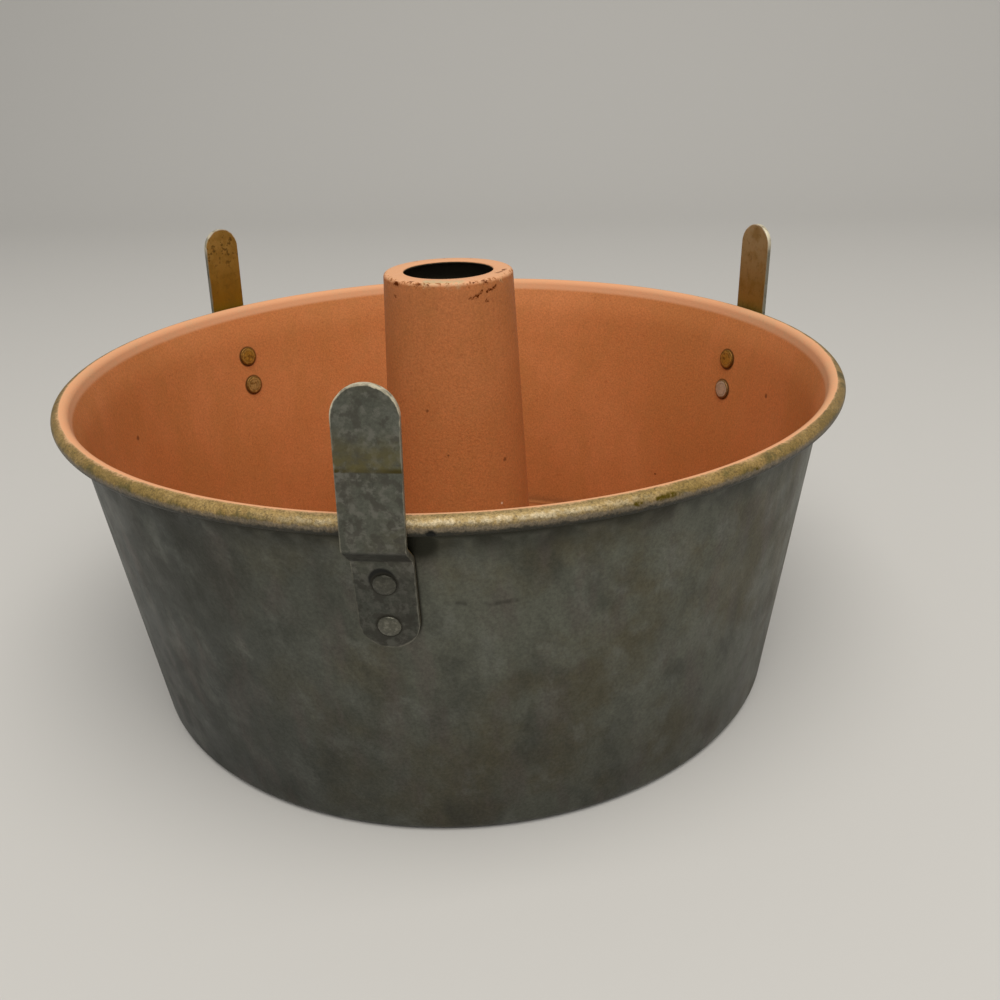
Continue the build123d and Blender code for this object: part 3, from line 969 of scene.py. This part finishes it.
def make_ring():
    """Ledge, wall, flare and rolled rim."""
    half = wall_gauge / 2
    roll_middle = roll_radius - half
    flare_start = Vector((wall_offset(flare_height, half), flare_height))
    reach = roll_center - flare_start
    swing = math.asin(roll_middle / reach.length)
    run = math.sqrt(reach.length**2 - roll_middle**2)
    roll_start = flare_start + heading(math.atan2(reach.y, reach.x) + swing) * run
    ledge = [Vector((base_radius - ledge_width, half)), Vector((wall_offset(half, half), half))]
    line = bent_line([*ledge, flare_start, roll_start], [corner_radius + half, flare_bend])[:-1]
    spoke = roll_start - roll_center
    start_angle = math.atan2(spoke.y, spoke.x)
    sweep = math.radians(roll_end_angle) - start_angle
    line += arc_run(roll_center, roll_middle, start_angle, sweep, roll_steps)
    outline = sheet_outline(line, wall_gauge)
    coats = []
    for point, side in outline:
        spoke = point - roll_center
        on_roll = spoke.length > roll_middle and point.y > pan_height - 2 * roll_radius
        rise = math.degrees(math.atan2(spoke.y, spoke.x)) if on_roll and spoke.x > 0 else 180.0
        coats.append(max(0.0, min(1.0, (rise - 20) / 100)) if side > 0 else 0.0)
    piece = spin_piece(
        "ring_wall", [p for p, _ in outline], coats, ring_finish(), ring_steps,
        waviness=rim_waviness, wavy_above=pan_height - 2.2 * roll_radius,
    )
    keep(piece, "ring", "tarnished_aluminium", "outer_ring")


def tube_outside(height):
    return tube_base_radius + (tube_top_radius - tube_base_radius) * height / tube_height


def make_tube():
    """Tapered tube with its pierced flat top, its fold above the plate and hem below."""
    half = tube_gauge / 2
    hem_middle = wall_gauge - half
    plate_top = wall_gauge + plate_gauge
    neck = tube_outside(wall_gauge)
    fold_round = (fold_height - fold_edge_run) / 2
    fold_edge = neck + fold_round + fold_top_run + fold_neck_bend - half
    fold_bottom = plate_top + half
    fold_top = plate_top + fold_height - half
    corners = [
        (neck + hem_width, hem_middle),
        (neck - half, hem_middle),
        (neck - half, fold_bottom),
        (fold_edge, fold_bottom),
        (fold_edge, fold_top),
        (tube_outside(fold_top) - half, fold_top),
        (tube_top_radius - half, tube_height - half),
        (tube_top_radius - tube_lip_width, tube_height - half),
    ]
    bends = [clamp_bend + half] * 2 + [fold_round - half] * 2
    bends += [fold_neck_bend + half, tube_corner_radius - half]
    outline = sheet_outline(bent_line([Vector(c) for c in corners], bends), tube_gauge)
    coats = [1.0 if side < 0 and point.y > plate_top else 0.0 for point, side in outline]
    piece = spin_piece("center_tube_sheet", [p for p, _ in outline], coats, tube_finish(), tube_steps)
    keep(piece, "insert", "terracotta_coating", "center_tube")


def make_plate():
    """Loose base plate with eased edges."""
    corner_run = corner_radius * math.tan((math.pi / 2 + wall_taper) / 2)
    edge = base_radius + wall_gauge * math.tan(wall_taper) - corner_run - plate_edge_clearance
    hole = tube_outside(wall_gauge) + tube_seat_clearance
    middle = wall_gauge + plate_gauge / 2
    ease = plate_edge_round
    line = bent_line([Vector((hole + ease, middle)), Vector((edge - ease, middle))], [])
    outline = sheet_outline(line, plate_gauge, ease)
    coats = [1.0 if side > 0 else 0.0 for _, side in outline]
    piece = spin_piece("base_plate_disc", [p for p, _ in outline], coats, plate_finish(), plate_steps)
    keep(piece, "insert", "terracotta_coating", "base_plate")


def leg_line():
    """Middle of a strap from its lower end to its top, as points with their direction."""
    half = leg_gauge / 2
    depth = wall_gauge + leg_wall_gap + half
    up_wall = heading(math.pi / 2 - wall_taper)
    outwards = heading(math.pi / 2 - wall_taper - math.radians(leg_joggle_angle))
    foot = Vector((wall_offset(leg_foot, depth), leg_foot))
    top = Vector((rim_radius + leg_rim_gap + half, leg_top))
    under_roll = roll_center - left_of(outwards) * (roll_radius + leg_roll_gap + half)
    corners = [
        foot,
        crossing(foot, up_wall, under_roll, outwards),
        crossing(top, Vector((0, 1)), under_roll, outwards),
        top,
    ]
    return bent_line(corners, [leg_bend + half] * 2, step=2 * MM, arc_step=math.radians(8))


def make_leg(side, azimuth, finish):
    """One strap, from a round-ended flat blank that is eased along its edges and then bent."""
    line = leg_line()
    stations = [0.0]
    for (here, _), (after, _) in zip(line, line[1:]):
        stations.append(stations[-1] + (after - here).length)
    length = stations[-1]
    half = leg_width / 2
    ends = [half * (1 - math.cos(math.pi / 2 * i / 14)) for i in range(15)]
    rows = ends + [s for s in stations if half + MM < s < length - half - MM]
    rows += [length - s for s in reversed(ends)]
    columns = [-1, -0.9, -0.7, -0.45, -0.2, 0, 0.2, 0.45, 0.7, 0.9, 1]
    points, index, faces = [], [], []
    for row in rows:
        end = min(row, length - row)
        width = half if end >= half else math.sqrt(max(0, half**2 - (half - end) ** 2))
        if width < 0.001 * MM:
            index.append([len(points)] * len(columns))
            points.append((0, row, 0))
        else:
            index.append([len(points) + i for i in range(len(columns))])
            points += [(width * share, row, 0) for share in columns]
    for below, above in zip(index, index[1:]):
        for i in range(len(columns) - 1):
            corners = [below[i], below[i + 1], above[i + 1], above[i]]
            faces.append(list(dict.fromkeys(corners)))
    mesh = bpy.data.meshes.new(f"leg_{side}_strap")
    mesh.from_pydata(points, [], faces)
    piece = new_object(mesh.name, mesh)
    wall = piece.modifiers.new("gauge", "SOLIDIFY")
    wall.thickness = leg_gauge
    wall.offset = 0
    ease = piece.modifiers.new("eased edges", "BEVEL")
    ease.width = leg_edge_round
    ease.segments = 3
    ease.limit_method = "ANGLE"
    ease.angle_limit = math.radians(50)
    settle(piece)
    mesh = piece.data
    radial, sideways = around(azimuth, 1, 0), around(azimuth + 90, 1, 0)
    edge = mesh.attributes.new("edge", "FLOAT", "POINT")
    outer = mesh.attributes.new("outer", "FLOAT", "POINT")
    for vertex in mesh.vertices:
        across, along, depth = vertex.co
        end = min(along, length - along)
        room = half - abs(across) if end >= half else half - math.hypot(across, half - end)
        edge.data[vertex.index].value = max(0.0, min(1.0, 1 - (room - leg_edge_round) / MM))
        outer.data[vertex.index].value = 0.5 + depth / leg_gauge
        place = max(i for i, s in enumerate(stations) if s <= along + 1e-9)
        place = min(place, len(line) - 2)
        share = (along - stations[place]) / (stations[place + 1] - stations[place])
        point = line[place][0].lerp(line[place + 1][0], share)
        direction = line[place][1].lerp(line[place + 1][1], share).normalized()
        spot = point - left_of(direction) * depth
        across += leg_leans[side] * max(0.0, (spot.y - lean_start) / (leg_top - lean_start))
        vertex.co = radial * spot.x + sideways * across + Vector((0, 0, spot.y))
    mesh.shade_smooth()
    mesh.materials.append(finish)
    face_outwards(piece)
    keep(piece, "ring", "strap_aluminium", f"leg_{side}")


def make_rivets():
    """Six rivets: a low crown over each strap and a flat head on the coating."""
    seat = base_radius + sum(rivet_heights.values()) / 2 * math.tan(wall_taper)
    hollow = seat - math.sqrt(seat**2 - flat_head_radius**2)
    flat_seat = -wall_gauge - hollow
    crown_seat = leg_wall_gap + leg_gauge
    crown_edge = crown_seat + crown_lip
    curve = (crown_radius**2 + crown_rise**2) / (2 * crown_rise)
    top = crown_edge + crown_rise
    head_face = flat_seat - flat_head_depth
    outline = []
    for i in range(9):
        radius = (crown_radius - crown_round) * i / 8
        outline.append((radius, top - curve + math.sqrt(curve**2 - radius**2)))
    rim = outline[-1][1]
    outline += [
        (crown_radius - 0.4 * crown_round, rim - 0.25 * crown_round),
        (crown_radius, rim - crown_round),
        (crown_radius, crown_seat),
        (shank_radius, crown_seat),
        (shank_radius, flat_seat),
        (flat_head_radius, flat_seat),
        (flat_head_radius, head_face + flat_head_round),
        (flat_head_radius - 0.3 * flat_head_round, head_face + 0.3 * flat_head_round),
        (flat_head_radius - flat_head_round, head_face),
        (flat_head_radius * 0.6, head_face),
        (0, head_face),
    ]
    outline = [Vector(point) for point in outline]
    finish = rivet_finish()
    shares = [point.x / flat_head_radius for point in outline]
    piece = spin_piece("rivets", outline, shares, finish, rivet_steps, closed=False)
    sizes = {f"Azimuth {side}": math.radians(azimuth) for side, azimuth in leg_azimuths.items()}
    sizes.update({f"Height {level}": height for level, height in rivet_heights.items()})
    sizes.update({"Wall radius at the table": wall_offset(0, wall_gauge), "Wall taper": wall_taper})
    sizes.update({"Seed": 5, "Finish": finish})
    run_tree(piece, rivet_pattern, sizes)
    nodes = [f"rivet_{side}_{level}" for side in leg_azimuths for level in rivet_heights]
    keep(piece, "ring", "rivet_aluminium", *nodes)


make_ring()
make_plate()
make_tube()
for side, azimuth in leg_azimuths.items():
    make_leg(side, azimuth, strap_finish(side))
make_rivets()


# Floor, backdrop, light and camera


def make_stage():
    """Pale floor that sweeps up into a pale backdrop."""
    corners = [Vector((-3.0, 0.0)), Vector((1.6, 0.0)), Vector((1.9, 2.6))]
    profile = bent_line(corners, [0.6], step=1.0)
    points = [(x, point.x, point.y) for x in (-4.0, 4.0) for point, _ in profile]
    count = len(profile)
    faces = [[i, count + i, count + i + 1, i + 1] for i in range(count - 1)]
    mesh = bpy.data.meshes.new("floor_sweep")
    mesh.from_pydata(points, [], faces)
    mesh.shade_smooth()
    mix = Finish("floor_pale")
    mesh.materials.append(mix.material)
    mix.feed(mix.shader.inputs["Base Color"], (0.56, 0.555, 0.54))
    mix.feed(mix.shader.inputs["Roughness"], 0.9)
    floor = new_object("floor_sweep", mesh)


def make_light():
    """Soft light from all round, and a large soft lamp overhead."""
    world = bpy.data.worlds.new("studio")
    bpy.context.scene.world = world
    world.use_nodes = True
    sky = world.node_tree.nodes["Background"]
    sky.inputs["Color"].default_value = (1.0, 0.98, 0.94, 1.0)
    sky.inputs["Strength"].default_value = 0.36
    lamp = bpy.data.lights.new("softbox", "AREA")
    lamp.shape = "RECTANGLE"
    lamp.size = 1.8
    lamp.size_y = 1.6
    lamp.energy = 35
    lamp.color = (1.0, 0.96, 0.90)
    softbox = new_object("softbox", lamp)
    softbox.location = (0.18, -0.7, 1.72)
    aim = Vector((0, 0, 0.05)) - softbox.location
    softbox.rotation_euler = aim.to_track_quat("-Z", "Y").to_euler()


def make_camera():
    """The photograph's viewpoint: in front, a little to the right, looking down."""
    data = bpy.data.cameras.new("camera")
    data.sensor_width = 36
    data.lens = 33.86
    data.clip_start = 0.01
    camera = new_object("camera", data)
    camera.location = (0.05127, -0.32776, 0.20874)
    yaw = Euler((0, 0, math.radians(6.211))).to_matrix()
    pitch = Euler((math.radians(90 - 24.944), 0, 0)).to_matrix()
    roll = Euler((0, 0, math.radians(-1.805))).to_matrix()
    camera.rotation_euler = (yaw @ pitch @ roll).to_euler()
    bpy.context.scene.camera = camera


make_stage()
make_light()
make_camera()
bpy.context.scene.view_settings.view_transform = "Standard"
